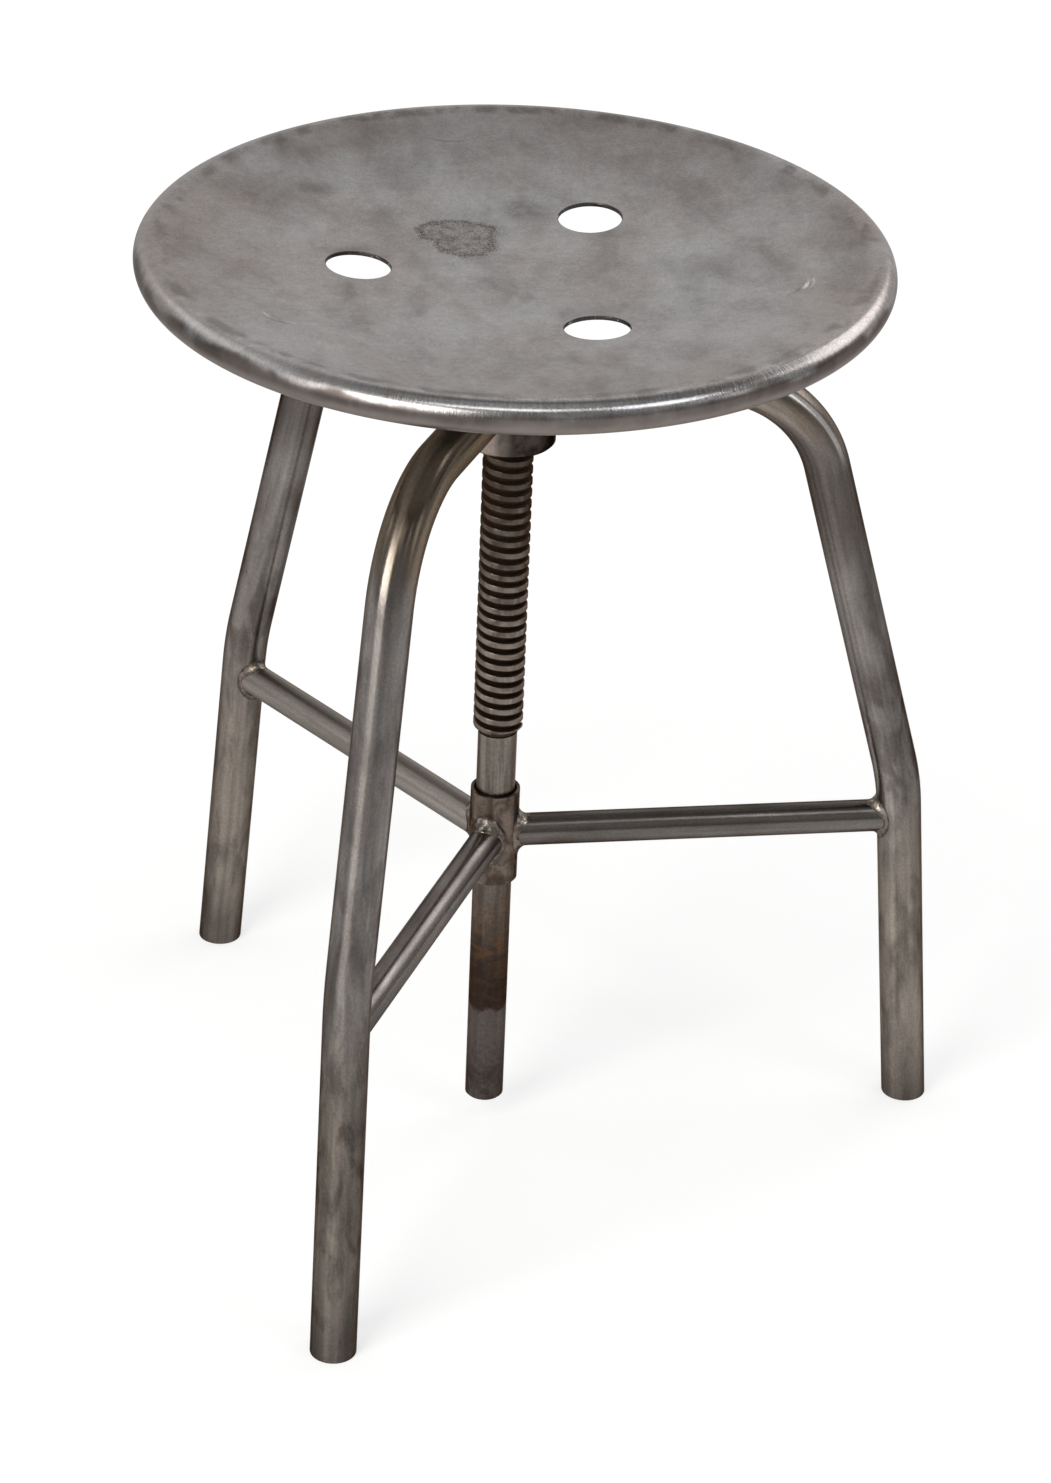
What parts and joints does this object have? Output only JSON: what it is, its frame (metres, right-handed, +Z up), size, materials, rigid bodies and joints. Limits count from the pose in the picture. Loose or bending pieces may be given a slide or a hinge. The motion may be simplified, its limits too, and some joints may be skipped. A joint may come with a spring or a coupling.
{
  "type": "operating stool",
  "caption": "Operating stool with a dished round steel seat that rises on a screw spindle as it turns, a threaded hub on splayed bent tube legs, and a spoked guide sleeve below.",
  "frame": {"origin": "on the spindle axis at floor level, under the middle of the seat", "axes": "+Z up along the spindle; +X from the spindle towards the right leg as the stool is seen from the front; the seat fully lowered"},
  "size_m": [0.4024, 0.3977, 0.475],
  "materials": {
    "seat_steel": "brushed, worn and lightly stained",
    "tube_steel": "brushed lengthwise, tarnished",
    "hub_steel": "turned, tarnished",
    "screw_steel": "machined thread, worn crests, greasy grooves",
    "rod_steel": "bright turned, rust stained",
    "weld_steel": "ground weld metal",
    "bush_bronze": "bored bronze"
  },
  "bodies": {
    "frame": {"threaded_hub": "hub_steel", "guide_sleeve": "tube_steel", "guide_bush": "bush_bronze", "front_leg": "tube_steel", "front_foot_plug": "tube_steel", "front_hub_weld": "weld_steel", "front_spoke": "tube_steel", "front_spoke_leg_weld": "weld_steel", "front_spoke_sleeve_weld": "weld_steel", "right_leg": "tube_steel", "right_foot_plug": "tube_steel", "right_hub_weld": "weld_steel", "right_spoke": "tube_steel", "right_spoke_leg_weld": "weld_steel", "right_spoke_sleeve_weld": "weld_steel", "left_leg": "tube_steel", "left_foot_plug": "tube_steel", "left_hub_weld": "weld_steel", "left_spoke": "tube_steel", "left_spoke_leg_weld": "weld_steel", "left_spoke_sleeve_weld": "weld_steel"},
    "guide_rod": {"guide_rod": "rod_steel"},
    "seat": {"seat_pan": "seat_steel", "seat_flange": "tube_steel", "seat_weld": "weld_steel", "lift_screw": "screw_steel", "collar_weld": "weld_steel"}
  },
  "joints": [
    {"name": "seat_lift", "type": "slide", "parent": "frame", "child": "guide_rod", "axis": [0, 0, 1], "range_m": [0, 0.144]},
    {"name": "seat_turn", "type": "hinge", "parent": "guide_rod", "child": "seat", "pos_m": [0, 0, 0.405], "axis": [0, 0, 1], "range_deg": [0, 8640]}
  ],
  "couplings": [
    {"joint": "seat_lift", "follows": "seat_turn", "m_per_rad": 0.00095493}
  ]
}
